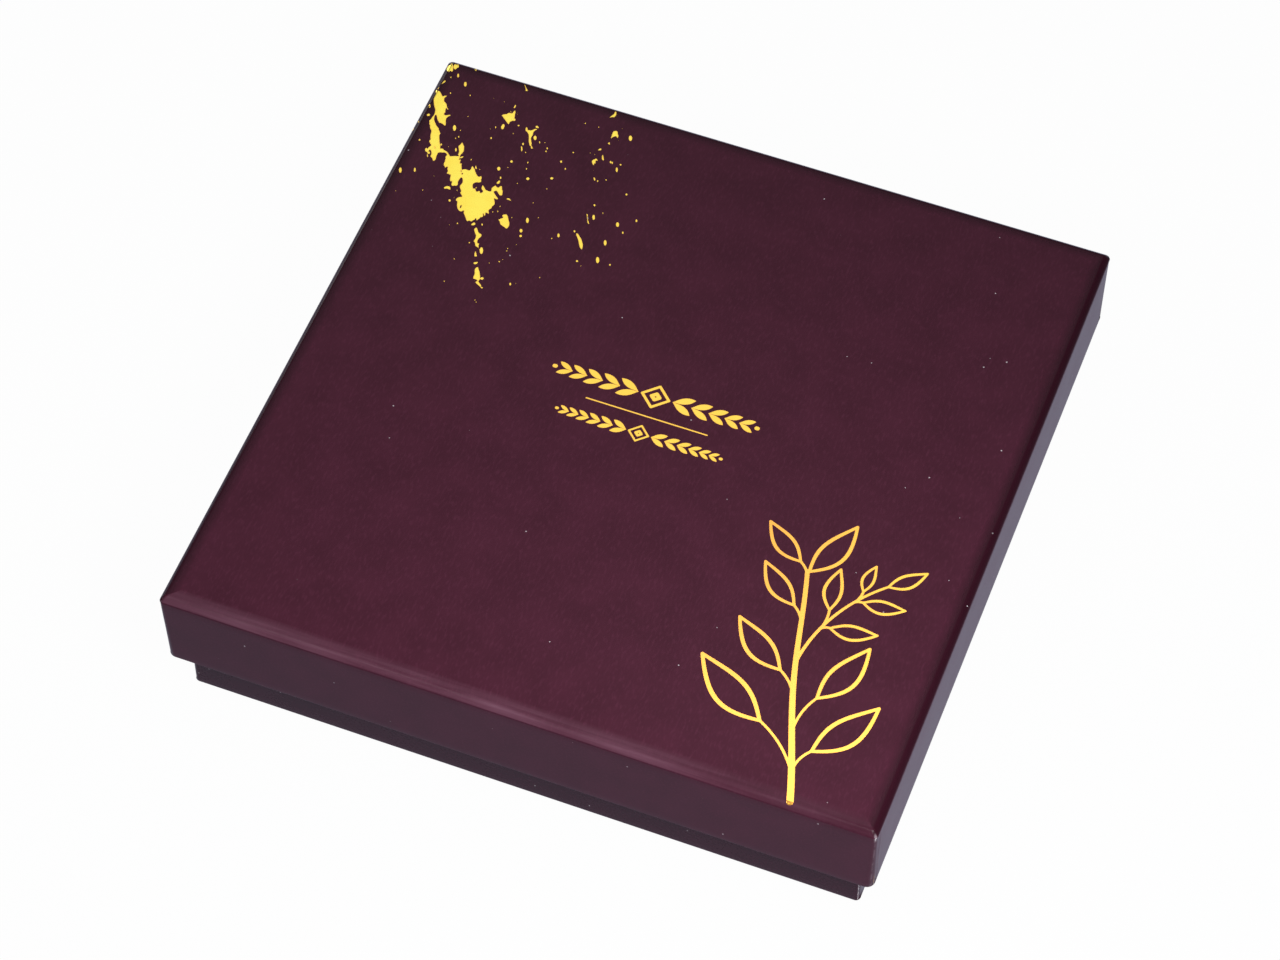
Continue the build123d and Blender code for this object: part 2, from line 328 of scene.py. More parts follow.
def satin_wrap():
    """Burgundy print under satin film: cloudy ink, fine fibres under the film, whitened creases, painted
    glints and dust.

    The film is the shader's own gloss, soft and a little uneven. Painted shade darkens the ink along the
    folds and on the base's walls, and a painted highlight pales it in streaks along the lid's front fold.
    """
    finish = Finish(bpy.data.materials.new("satin_wrap"))
    cloud = finish.noise(9.0 * mm, 5)
    fibre = finish.noise(0.55 * mm, 4, (1, 0.35, 1))
    speck = finish.noise(1.1 * mm, 2)
    ink = finish.mix(cloud.rise(0.25, 0.75), (0.0395, 0.0070, 0.0160), (0.0485, 0.0089, 0.0202))
    ink = finish.mix(fibre.rise(0.45, 0.8) * 0.3, ink, (0.09, 0.021, 0.043))
    # Painted shade: where this mark says, the ink darkens, for the lid's folds and corners and the base's
    # walls.
    painted_shade = finish.node("ShaderNodeAttribute", {"attribute_name": "painted_shade"}, {}, "Fac")
    ink = finish.mix(painted_shade * 0.88, ink, (0.020, 0.0035, 0.008))
    # Painted highlight: where this mark says, the ink pales in streaks, for the light along the lid's front
    # fold.
    painted_highlight = finish.node("ShaderNodeAttribute", {"attribute_name": "painted_highlight"}, {}, "Fac")
    streak = finish.noise(0.8 * mm, 3, (0.05, 1, 1)).rise(0.25, 0.75)
    drift = finish.noise(38 * mm, 2).rise(0.3, 0.7)
    pale = painted_highlight * (0.22 + streak * 0.5 + drift * 0.42)
    ink = finish.mix(pale, ink, (0.118, 0.050, 0.075))
    # This mark is crease wear, and where it climbs past 1.4 it is a painted glint, near white, at a corner.
    crease_and_glint = finish.node("ShaderNodeAttribute", {"attribute_name": "crease_and_glint"}, {}, "Fac")
    worn = crease_and_glint.rise(0, 1) * speck.rise(0.35, 0.62)
    ink = finish.mix(worn * 0.55, ink, (0.30, 0.235, 0.27))
    ink = finish.mix(crease_and_glint.rise(1.4, 2.8), ink, (0.72, 0.68, 0.70))
    cells = {"Vector": finish.place, "Scale": 1 / (4.0 * mm), "Randomness": 1.0}
    distance = finish.node("ShaderNodeTexVoronoi", {}, cells)
    chance = finish.node("ShaderNodeTexVoronoi", {}, cells, "Color")
    dust = (1 - distance.rise(0.030, 0.055)) * chance.rise(0.62, 0.66)
    ink = finish.mix(dust * 0.7, ink, (0.52, 0.47, 0.50))
    roughness = 0.28 + cloud * 0.05 + fibre * 0.04 + worn * 0.2 - painted_shade * 0.08
    sockets = {"Base Color": ink, "Roughness": roughness, "Specular IOR Level": 0.075}
    return finish.finished(sockets, fibre * 0.6 + cloud * 0.2, 0.012 * mm)


wrap_finish = satin_wrap()

# The base's wrap: turned under the floor by a margin at the bottom, and over the rim at the top. The
# upright corners are rounder at the rim than at the fold, where the score keeps them sharp.
base_low, base_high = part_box("base_wrap")
under_margin = 15.0 * mm
bare_band = 1.5 * mm
base_turn_in_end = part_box("base_liner")[1].z + bare_band
base_outline = [
    under_margin + 1j * base_low.z,
    bevel_width + 1j * base_low.z,
    1j * (base_low.z + bevel_width),
    1j * base_high.z,
    wall_stack + 1j * base_high.z,
    wall_stack + 1j * base_turn_in_end,
]
base_rounds = (bevel_round_below, bevel_round_below, rim_round, rim_round)
base_profile = rounded_path(base_outline, base_rounds, profile_spacing)
on_base_wall = (base_profile.real < face_slack).astype(float)
base_radii = np.interp(base_profile.imag, (base_low.z, base_high.z), (fold_corner_round, rim_corner_round))
base_radii[base_profile.real > wall_stack - turn_in_slack] = inside_corner_round
base_points, base_face = drawn_paper(base_high.x, base_high.y, base_profile, base_radii)
base_crease_and_highlight = press_laps(base_points, base_face, base_high.y, on_base_wall, 11)
# The rim is a little worn, and a white line is painted down the front right corner as its highlight.
base_rim_wear, painted_corner_highlight = 0.3, 2.05
base_crease_and_highlight += base_rim_wear * np.exp(-(((base_profile.imag - base_high.z) / rim_wear_reach) ** 2))[:, None]
front_right = np.maximum(base_face.real, 0) * np.maximum(-base_face.imag, 0) * 2
base_crease_and_highlight += painted_corner_highlight * on_base_wall[:, None] * front_right ** 40
base_faces = grid_quads(*base_points.shape[:2], True, True)
# Painted shadow: the base's outer walls get darker ink, for the shade under the lid's rim.
painted_shadow_under_lid = 0.65
base_marks = {"crease_and_glint": base_crease_and_highlight, "painted_shade": painted_shadow_under_lid * on_base_wall[:, None], "painted_highlight": 0}
base_paper = new_piece("base_wrap_paper", base_points, base_faces, wrap_finish, "base", base_marks)
give_thickness(base_paper, shown_thickness)
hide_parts("base_wrap")
dress(wrap_finish, "base_bottom_sheet")

# Divider: strips of solid bleached card, die cut with slots and pushed together into sixteen cells.
# The faces are smooth and warm white, and the cut edges a little darker and rough.


def divider_card():
    """Warm white card with a faint machine direction. Edges that face up or down show a darker core."""
    finish = Finish(bpy.data.materials.new("divider_card"))
    cloud = finish.noise(5.0 * mm, 5)
    grain = finish.noise(0.4 * mm, 4, (1, 1, 0.4))
    normal = finish.node("ShaderNodeNewGeometry", {}, {}, "True Normal")
    upright = finish.node("ShaderNodeSeparateXYZ", {}, {"Vector": normal}, "Z")
    edge = upright.maths("ABSOLUTE", upright).rise(0.7, 0.9)
    face = finish.mix(cloud.rise(0.3, 0.7), (0.68, 0.60, 0.47), (0.75, 0.68, 0.55))
    core = finish.mix(grain.rise(0.35, 0.65), (0.40, 0.31, 0.21), (0.55, 0.45, 0.33))
    colour = finish.mix(edge, face, core)
    sockets = {"Base Color": colour, "Roughness": 0.55 + edge * 0.3}
    return finish.finished(sockets, grain + cloud * 0.3, 0.02 * mm)


dress(divider_card(), *[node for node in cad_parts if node.startswith("divider_")])

# Padding sheet: plies of soft brown glassine pressed into a field of pillows, which cushions the
# chocolates under the lid. Its edge is crimped flat where the plies are held together.
pad_low, pad_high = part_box("cushion_pad")
pillow_count = 7
fine_pillow_count = 3 * pillow_count
pillow_fullness, fine_fullness = 0.55, 0.75
flat_share, pillow_share, fine_share = 0.42, 0.30, 0.28
pad_fine_step = 0.8 * mm
pad_edge, pad_crimp = 1.6 * mm, 0.35 * mm
pad_corner = 4.0 * mm


def pressed_pillows(x, y, half, crown, crimp):
    """Half thickness of the sheet: large pillows with small ones pressed into them, and a crimped edge.

    A pillow is the product of two sines, each raised to a power under one, which keeps its middle full. A
    slow wave makes the small ones uneven.
    """
    share_x = (x / half + 1) / 2
    share_y = (y / half + 1) / 2
    crowns = []
    for count, fullness in ((pillow_count, pillow_fullness), (fine_pillow_count, fine_fullness)):
        sines = np.sin(share_x * count * math.pi) * np.sin(share_y * count * math.pi)
        crowns.append(np.abs(sines) ** fullness)
    wander = 0.88 + 0.12 * np.sin(x * 310 + 2 * np.sin(y * 170)) * np.sin(y * 290 + 1.3)
    from_edge = half - np.maximum(np.abs(x), np.abs(y))
    held = np.clip(from_edge / pad_edge, 0, 1) ** 0.5
    swell = flat_share + pillow_share * crowns[0] + fine_share * crowns[1] * wander
    return crimp + (crown - crimp) * held * swell


def padding_sheet():
    """Both faces of the sheet as one closed grid, joined round the crimped edge.

    At a corner the square grid is drawn in to a quarter circle, in the ratio of its longer reach to its
    straight-line reach from the circle's centre.
    """
    half = pad_high.x
    count = round(2 * half / pad_fine_step)
    line = np.linspace(-half, half, count + 1)
    x, y = np.meshgrid(line, line, indexing="ij")
    corner_x = np.clip(np.abs(x) - (half - pad_corner), 0, None)
    corner_y = np.clip(np.abs(y) - (half - pad_corner), 0, None)
    reach = np.hypot(corner_x, corner_y)
    limit = np.where(reach > 0, np.maximum(corner_x, corner_y) / np.maximum(reach, 1e-9), 1)
    round_x = np.sign(x) * (np.abs(x) - corner_x * (1 - limit))
    round_y = np.sign(y) * (np.abs(y) - corner_y * (1 - limit))
    middle = (pad_low.z + pad_high.z) / 2
    thick = pressed_pillows(x, y, half, (pad_high.z - pad_low.z) / 2, pad_crimp)
    top = np.stack([round_x, round_y, middle + thick], -1)
    bottom = np.stack([round_x, round_y, middle - thick], -1)
    faces = grid_quads(*x.shape, False)
    under = grid_quads(*x.shape, False, True) + x.size
    index = np.arange(x.size).reshape(x.shape)
    rim = np.concatenate([index[:, 0], index[-1, 1:], index[-2::-1, -1], index[0, -2:0:-1]])
    following = np.roll(rim, -1)
    sides = np.stack([rim, rim + x.size, following + x.size, following], -1)
    return np.stack([top, bottom]), np.concatenate([faces, under, sides])


def glassine():
    """Brown greaseproof paper with a waxy sheen and thousands of small creases."""
    finish = Finish(bpy.data.materials.new("glassine"))
    cloud = finish.noise(4.0 * mm, 6)
    crinkle = finish.noise(0.9 * mm, 6)
    colour = finish.mix(cloud.rise(0.3, 0.7), (0.085, 0.038, 0.018), (0.145, 0.07, 0.034))
    roughness = 0.36 + crinkle * 0.16
    return finish.finished({"Base Color": colour, "Roughness": roughness}, crinkle + cloud * 0.4, 0.09 * mm)


pad_points, pad_faces = padding_sheet()
padding = new_piece("padding_sheet", pad_points, pad_faces, glassine(), "pad")
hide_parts("cushion_pad")

# The lid's wrap: one sheet over the panel and the four walls. The board is crushed a little where it is
# scored, so the panel dips just inside its edge, levels out, and then rolls over the bevelled fold.
lid_low, lid_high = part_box("lid_wrap")
foil_lift = 0.02 * mm
lid_panel_z = lid_high.z - foil_lift
lid_half = lid_high.x - foil_lift
lid_turn_in_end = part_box("lid_liner")[0].z - bare_band
dip_start, dip_end, dip_depth = 3.9 * mm, 2.2 * mm, 0.085 * mm
lid_outline = [
    lid_half + 1j * lid_panel_z,
    dip_start + 1j * lid_panel_z,
    dip_end + 1j * (lid_panel_z - dip_depth),
    bevel_width + 1j * (lid_panel_z - dip_depth),
    1j * (lid_panel_z - dip_depth - bevel_width),
    1j * lid_low.z,
    wall_stack + 1j * lid_low.z,
    wall_stack + 1j * lid_turn_in_end,
]
lid_rounds = (6 * mm, 6 * mm, bevel_round_above, bevel_round_below, rim_round, rim_round)
lid_profile = rounded_path(lid_outline, lid_rounds, profile_spacing)
on_lid_wall = (lid_profile.real < face_slack).astype(float)
lid_radii = np.interp(lid_profile.imag, (lid_low.z, lid_panel_z), (rim_corner_round, fold_corner_round))
# On the panel the corners' rounding dies away inwards and stays small beside what is left of the panel.
on_the_panel = lid_profile.imag > lid_panel_z - bevel_width
lid_radii[on_the_panel] *= np.interp(lid_profile.real[on_the_panel], (0.3 * mm, 2.1 * mm), (1, 0.12))
lid_radii[lid_profile.real > wall_stack - turn_in_slack] = inside_corner_round
to_the_middle = lid_half - lid_profile.real[on_the_panel]
lid_radii[on_the_panel] = np.minimum(lid_radii[on_the_panel], 0.3 * to_the_middle)
lid_points, lid_face = drawn_paper(lid_half, lid_half, lid_profile, lid_radii, side_steps=96)
lid_crease_and_glint = press_laps(lid_points, lid_face, lid_half, on_lid_wall, 29)
# The rim is a little worn, and each corner of the walls gets a white glint painted just under the fold.
lid_rim_wear, painted_corner_glint = 0.25, 2.6
lid_crease_and_glint += lid_rim_wear * np.exp(-(((lid_profile.imag - lid_low.z) / rim_wear_reach) ** 2))[:, None]
at_corner = np.abs(2 * lid_face.real * lid_face.imag)[None, :]
below_fold = (lid_panel_z - bevel_width - lid_profile.imag)[:, None]
lid_crease_and_glint += painted_corner_glint * at_corner ** 6 * np.exp(-(((below_fold - 0.5 * mm) / (0.7 * mm)) ** 2))
lid_faces = grid_quads(*lid_points.shape[:2], True)
# Painted shade darkens the fold at the back and the sides, and along the front up to half at its right end.
lid_fold = np.interp(lid_profile.real, (1.6 * mm, 3.6 * mm), (1, 0)) * on_the_panel
towards_right = np.interp(lid_points[..., 0], (5 * mm, 76 * mm), (0, 1))
right_painted_shade = 0.5 * towards_right
lid_painted_shade = right_painted_shade + (1 - right_painted_shade) * np.interp(lid_face.imag, (-0.7, 0), (0, 1))
lid_painted_shade *= lid_fold[:, None]
# Painted shade also darkens a small notch at each corner, just inside the fold.
painted_notch_band = np.exp(-(((lid_profile.real - 0.5 * mm) / (0.5 * mm)) ** 2)) * on_the_panel
lid_painted_shade = np.minimum(lid_painted_shade + at_corner ** 3 * painted_notch_band[:, None], 1)
# Along the front a painted highlight pales the fold in streaks, less so towards the right.
highlight_inset = (0.0, 0.9 * mm, 1.5 * mm, 1.9 * mm, 2.5 * mm, 4.0 * mm)
highlight_share = (0.85, 1.0, 0.6, 0.45, 0.6, 0)
lid_painted_highlight = np.interp(lid_profile.real, highlight_inset, highlight_share) * on_the_panel
facing_front = np.interp(-lid_face.imag, (0.7, 1), (0, 1))
lid_painted_highlight = lid_painted_highlight[:, None] * facing_front * (0.9 - 0.7 * towards_right)
lid_marks = {"crease_and_glint": lid_crease_and_glint, "painted_shade": lid_painted_shade, "painted_highlight": lid_painted_highlight}
lid_paper = new_piece("lid_wrap_paper", lid_points, lid_faces, wrap_finish, "lid", lid_marks)
give_thickness(lid_paper, shown_thickness)
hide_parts("lid_wrap")

# Gold foil: metal leaf stamped hot on the flat sheet before it is wrapped, so it follows the folds.
# There is a speckle over the back left corner, a small ornament in the middle of the panel and an
# outlined sprig that grows from the front edge.


def gold_foil():
    """Bright yellow metal, nearly smooth, a little uneven; more orange where thinner and in painted shade.
    """
    finish = Finish(bpy.data.materials.new("gold_foil"))
    cloud = finish.noise(5.0 * mm, 4)
    grain = finish.noise(0.3 * mm, 3)
    # This mark turns the foil orange: its thinness, and on the sprig painted shade.
    thin_and_shaded = finish.node("ShaderNodeAttribute", {"attribute_name": "thin_and_shaded"}, {}, "Fac")
    colour = finish.mix(cloud.rise(0.3, 0.7), (1.0, 0.76, 0.085), (1.0, 0.82, 0.105))
    colour = finish.mix(thin_and_shaded * (0.7 + cloud * 0.4), colour, (0.95, 0.42, 0.075))
    roughness = 0.18 + grain * 0.08
    sockets = {"Base Color": colour, "Metallic": 0.8, "Roughness": roughness}
    return finish.finished(sockets, grain, 0.005 * mm)


foil_thickness = 0.016 * mm
cut_share = (0.04, 0.96)
edge_thinness, edge_next = 0.8, 0.3
foil_finish = gold_foil()
paper_run = np.concatenate([[0], np.cumsum(np.abs(np.diff(lid_profile)))])


def on_the_wrap(x, y):
    """Points on the wrapped lid for places on the flat sheet, lifted by the foil's thickness.

    Each coordinate is a run of paper from the middle. Its set-in and height are read off the lid's profile
    at that run, and the lower of the two heights counts.
    """
    out_x = lid_half - np.interp(np.abs(x), paper_run, lid_profile.real)
    out_y = lid_half - np.interp(np.abs(y), paper_run, lid_profile.real)
    drop_x = np.interp(np.abs(x), paper_run, lid_profile.imag)
    drop_y = np.interp(np.abs(y), paper_run, lid_profile.imag)
    fold = lid_half - bevel_width / 2
    over_x = np.abs(x) > fold
    over_y = np.abs(y) > fold
    across = np.sign(x) * (out_x + foil_lift * over_x)
    along = np.sign(y) * (out_y + foil_lift * over_y)
    return np.stack([across, along, np.minimum(drop_x, drop_y) + foil_lift], -1)


def turned_to(corners, first):
    """Triangles with their corners in the same turn, but starting from a given one of the three."""
    return np.take_along_axis(corners, (first[:, None] + [0, 1, 2]) % 3, 1)


def stamped(name, field, left, right, front, back, step, thin_and_shaded=None):
    """Foil wherever a field over the sheet is above zero, as a mesh of small triangles.

    The sheet is cut into triangles. One with all three corners inside is kept whole, and one on the outline
    is cut where the field, taken as straight along each edge, passes zero, a little off the edge's ends. A
    second field says how much thinner the foil lies there, and on the sprig it also carries painted shade.
    The foil is thinnest along its outline.
    """
    x, y = np.meshgrid(np.arange(left, right, step), np.arange(front, back, step), indexing="ij")
    value = field(x, y).ravel()
    place = np.stack([x.ravel(), y.ravel()], -1)
    index = np.arange(x.size).reshape(x.shape)
    a, b, c, d = index[:-1, :-1], index[1:, :-1], index[1:, 1:], index[:-1, 1:]
    halves = ((a, b, c), (a, c, d))
    corners = np.concatenate([np.stack(half, -1).reshape(-1, 3) for half in halves])
    inside = value[corners] > 0
    count = inside.sum(1)
    whole = corners[count == 3]
    tips = turned_to(corners[count == 1], np.argmax(inside[count == 1], 1))
    stubs = turned_to(corners[count == 2], np.argmin(inside[count == 2], 1))
    edges = np.concatenate([tips[:, [0, 1]], tips[:, [0, 2]], stubs[:, [0, 1]], stubs[:, [0, 2]]])
    pairs, crossing = np.unique(np.sort(edges, 1), axis=0, return_inverse=True)
    share = np.clip(value[pairs[:, 0]] / (value[pairs[:, 0]] - value[pairs[:, 1]]), *cut_share)
    cuts = place[pairs[:, 0]] + share[:, None] * (place[pairs[:, 1]] - place[pairs[:, 0]])
    tip_one, tip_two, stub_one, stub_two = np.split(
        crossing.ravel() + len(place), np.cumsum([len(tips), len(tips), len(stubs)])
    )
    triangles = np.concatenate([
        whole,
        np.stack([tips[:, 0], tip_one, tip_two], -1),
        np.stack([stub_one, stubs[:, 1], stubs[:, 2]], -1),
        np.stack([stub_one, stubs[:, 2], stub_two], -1),
    ])
    edge = np.zeros(len(place) + len(cuts))
    edge[np.concatenate([tips[:, 0], stubs[:, 1], stubs[:, 2]])] = edge_next
    edge[len(place):] = edge_thinness
    used, triangles = np.unique(triangles, return_inverse=True)
    flat = np.concatenate([place, cuts])[used]
    marks = {"thin_and_shaded": np.minimum(edge[used] + (thin_and_shaded(flat[:, 0], flat[:, 1]) if thin_and_shaded else 0), 1)}
    points = on_the_wrap(flat[:, 0], flat[:, 1])
    piece = new_piece(name, points, triangles.reshape(-1, 3), foil_finish, "lid", marks)
    piece.data.shade_flat()
    give_thickness(piece, foil_thickness)


def inked(strokes):
    """Field of a drawing in strokes: half a stroke's width there, less how far off its middle line is."""

    def field(x, y):
        depth = np.full(x.shape, -1.0)
        for line, half_width in strokes:
            reach = half_width.max() + 0.3 * mm
            near = (x > line.real.min() - reach) & (x < line.real.max() + reach)
            near &= (y > line.imag.min() - reach) & (y < line.imag.max() + reach)
            point = (x + 1j * y)[near][:, None]
            run = np.diff(line)
            share = np.clip(((point - line[:-1]) * run.conj()).real / np.abs(run) ** 2, 0, 1)
            into = half_width[:-1] + share * np.diff(half_width) - np.abs(point - line[:-1] - share * run)
            depth[near] = np.maximum(depth[near], into.max(1))
        return depth

    return field


# The sprig: a stem that leans back from the front edge, with outlined leaves on stalks at its two sides,
# a side branch of small leaves and two leaves at the top. A leaf has its place up the stem or branch, its
# side, its length, the length of its stalk, and how many degrees it turns away.
sprig_foot = (60.7 - 78.6j) * mm
sprig_tip = (45.2 - 24.6j) * mm
stem_points, stem_sway = 80, 0.02
stem_half_widths = (0.74 * mm, 0.48 * mm)
stalk_half_width, branch_swell = 0.29 * mm, 1.3
stalk_turn_shares = (0.3, 1.2)
leaf_line, leaf_line_share = 0.20 * mm, 0.0125
leaf_line_ends, leaf_line_swell = 0.85, 0.25
leaf_fullness, leaf_skew, leaf_bend = 0.17, 0.08, 0.32
stem_leaves = (
    (0.11, 1, 20.0 * mm, 14.5 * mm, 38),
    (0.13, -1, 17.5 * mm, 6.5 * mm, 52),
    (0.29, -1, 16.5 * mm, 10.0 * mm, 42),
    (0.45, 1, 15.5 * mm, 6.5 * mm, 36),
    (0.77, 1, 12.5 * mm, 4.5 * mm, 36),
    (1.0, 1, 12.0 * mm, 3.5 * mm, 36),
    (1.0, -1, 15.5 * mm, 0.8 * mm, 38),
)
branch_place, branch_length, branch_turns = 0.60, 28.0 * mm, (-20, -64)
branch_leaves = (
    (0.38, 1, 10.5 * mm, 4.5 * mm, 27),
    (0.36, -1, 10.0 * mm, 2.2 * mm, 60),
    (0.72, 1, 7.0 * mm, 2.8 * mm, 32),
    (0.70, -1, 9.0 * mm, 2.0 * mm, 47),
)
branch_tip_leaf = 9.0 * mm
# Painted shade on the sprig's foil is greatest along a line through this point, parallel to the stem.
sprig_shade_line = (34.0 - 26.0j) * mm
sprig_shade_spread = 36.0 * mm


def turning_line(start, heading, length, turns, count=24):
    """Line of a given length whose direction turns evenly between two angles, in degrees off a heading."""
    middles = (np.arange(count) + 0.5) / count
    steps = heading * np.exp(1j * np.radians(turns[0] + (turns[1] - turns[0]) * middles)) * length / count
    return start + np.concatenate([[0], np.cumsum(steps)])


def leaf(root, heading, length, bend):
    """Strokes of one outlined leaf: two sides that swell as a sine does, and meet at both ends.

    A second, quicker sine moves the swell towards the root, which draws the tip out. The middle line turns
    evenly by the bend, in radians.
    """
    share = np.linspace(0, 1, 33)
    middle = length * share * np.exp(0.5j * bend * (share - 1))
    swell = length * leaf_fullness * (np.sin(math.pi * share) + leaf_skew * np.sin(2 * math.pi * share))
    line_swell = leaf_line_ends + leaf_line_swell * np.sin(math.pi * share)
    width = (leaf_line + leaf_line_share * length) * line_swell
    return [(root + heading * (middle + 1j * side * swell), width) for side in (1, -1)]


def leaves_along(line, table):
    """Strokes of the stalks and leaves of a table, on a stem or branch. A stalk bends out into its leaf."""
    strokes = []
    for place, side, length, stalk_length, turn in table:
        number = min(round(place * (len(line) - 1)), len(line) - 2)
        heading = (line[number + 1] - line[number]) / abs(line[number + 1] - line[number])
        turns = [share * side * turn for share in stalk_turn_shares]
        stalk = turning_line(line[number], heading, stalk_length, turns)
        strokes.append((stalk, np.full(len(stalk), stalk_half_width)))
        lean = heading * np.exp(1j * side * math.radians(turn))
        strokes += leaf(stalk[-1], lean, length, -side * leaf_bend)
    return strokes


def sprig():
    """All strokes of the sprig. The stem sways to one side and back by a small share of its length."""
    share = np.linspace(0, 1, stem_points)
    reach = sprig_tip - sprig_foot
    stem = sprig_foot + reach * (share + 1j * stem_sway * np.sin(share * math.pi) ** 2)
    strokes = [(stem, np.interp(share, (0, 1), stem_half_widths))]
    start = stem[round(branch_place * (stem_points - 1))]
    branch = turning_line(start, reach / abs(reach), branch_length, branch_turns, 40)
    strokes.append((branch, np.linspace(stalk_half_width * branch_swell, stalk_half_width, len(branch))))
    strokes += leaves_along(stem, stem_leaves)
    strokes += leaves_along(branch, branch_leaves)
    tip_heading = (branch[-1] - branch[-2]) / abs(branch[-1] - branch[-2])
    return strokes + leaf(branch[-1], tip_heading, branch_tip_leaf, leaf_bend)


def sprig_painted_shade(x, y):
    """Bell curve across the sprig: painted shade in its foil, most along the left side and less to the
    right.
    """
    upwards = (sprig_tip - sprig_foot) / abs(sprig_tip - sprig_foot)
    across = ((x + 1j * y - sprig_shade_line) / upwards).imag
    return np.exp(-((across / sprig_shade_spread) ** 2))


stamped("foil_sprig", inked(sprig()), 20 * mm, 79 * mm, -80.6 * mm, -5 * mm, 0.14 * mm, sprig_painted_shade)

# The ornament: a thin rule between a large and a small garland of paired leaves about a lozenge. It
# stands in the middle of the panel, and its foil is evenly thin.
ornament_middle = (-0.9 + 0.8j) * mm
rule_length = 28.0 * mm
rule_half_width = 0.17 * mm
garland_leaf = (4.6 + 2.1j) * mm
garland_pitch = 4.3 * mm
ornament_thin = 0.4


def lozenge(centre, half_long, half_high, half_width):
    """Stroke of an outlined lozenge."""
    points = centre + np.array([half_long, 1j * half_high, -half_long, -1j * half_high, half_long])
    return points, np.full(5, half_width)


def petal(start, end, fattest):
    """Stroke of a filled leaf, which swells as a sine between its two points."""
    share = np.linspace(0, 1, 24)
    return start + (end - start) * share, fattest * np.sin(math.pi * share ** 1.2) + 0.05 * mm


def garland(centre, scale, pairs):
    """A lozenge with pairs of leaves that shrink away from it on both sides, and a bead at each end."""
    strokes = [lozenge(centre, 3.1 * mm * scale, 2.9 * mm * scale, 0.32 * mm * scale)]
    strokes.append(lozenge(centre, 0.9 * mm * scale, 0.8 * mm * scale, 0.45 * mm * scale))
    for side in (1, -1):
        place = 4.0 * mm * scale
        for number in range(pairs):
            size = scale * (1 - 0.07 * number)
            for lift in (1, -1):
                root = centre + side * place
                tip = root + (side * garland_leaf.real + 1j * lift * garland_leaf.imag) * size
                strokes.append(petal(root, tip, 0.78 * mm * size))
            place += garland_pitch * size
        end = centre + side * (place + 0.9 * mm * scale)
        strokes.append((np.array([end, end + side * 0.2 * mm]), np.full(2, 0.5 * mm * scale)))
    return strokes


def ornament():
    """The rule and its two garlands."""
    ends = ornament_middle + np.array([-0.5, 0.5]) * rule_length
    strokes = [(ends, np.full(2, rule_half_width))]
    strokes += garland(ornament_middle + 5.6j * mm, 1.0, 5)
    return strokes + garland(ornament_middle - 4.8j * mm, 0.72, 6)


stamped(
    "foil_ornament", inked(ornament()), -28 * mm, 26 * mm, -9 * mm, 11 * mm, 0.10 * mm,
    lambda x, y: ornament_thin,
)

# The speckle: torn patches and a fine spray that run towards the front from the back left corner. Each
# patch has its place across and towards the back, its half length, its half width and its weight.
speckle_seed = 3
run_direction = np.exp(1j * math.radians(-68))
torn_patches = (
    (-79.0 * mm, 77.5 * mm, 3.0 * mm, 1.1 * mm, 0.9),
    (-76.8 * mm, 66.0 * mm, 8.0 * mm, 2.2 * mm, 1.15),
    (-73.5 * mm, 55.0 * mm, 7.0 * mm, 1.6 * mm, 1.0),
    (-66.5 * mm, 51.0 * mm, 6.5 * mm, 3.0 * mm, 1.3),
    (-58.0 * mm, 43.0 * mm, 7.0 * mm, 4.8 * mm, 1.6),
    (-61.0 * mm, 69.0 * mm, 3.4 * mm, 2.3 * mm, 1.0),
    (-53.0 * mm, 62.0 * mm, 6.0 * mm, 1.7 * mm, 0.85),
    (-50.0 * mm, 42.0 * mm, 6.0 * mm, 2.4 * mm, 0.8),
    (-35.5 * mm, 73.0 * mm, 8.0 * mm, 2.0 * mm, 0.9),
    (-36.5 * mm, 61.0 * mm, 7.0 * mm, 1.9 * mm, 0.8),
    (-32.0 * mm, 42.0 * mm, 7.0 * mm, 1.5 * mm, 1.0),
    (-51.0 * mm, 27.0 * mm, 9.0 * mm, 1.2 * mm, 0.72),
)
speckle_level, patch_height = 2.65, 3
torn_stretch = 2.0
torn_shove, shove_pitch, shove_waves = 0.5 * mm, 3.0 * mm, 7
torn_octaves = ((4.2 * mm, 0.72), (1.9 * mm, 0.42), (0.9 * mm, 0.10))
waves_in_octave = 16
spray_count = 150
spray_spread_long, spray_spread_wide = 2.5 * mm, 3.2 * mm
spray_finest, spray_coarsest = 0.09 * mm, 0.39 * mm
spray_reach = 2.0 * mm
foil_off_corner = 2.0 * mm


def waves(point, draw, pitch, count):
    """Sum of waves of about one pitch, each in a direction of its own, scaled to be about one high."""
    field = np.zeros(point.shape)
    for wave in range(count):
        way = np.exp(1j * draw.uniform(0, 2 * math.pi)) * 2 * math.pi / (pitch * draw.uniform(0.75, 1.35))
        field += np.cos((point * way.conjugate()).real + draw.uniform(0, 2 * math.pi))
    return field * math.sqrt(2 / count)


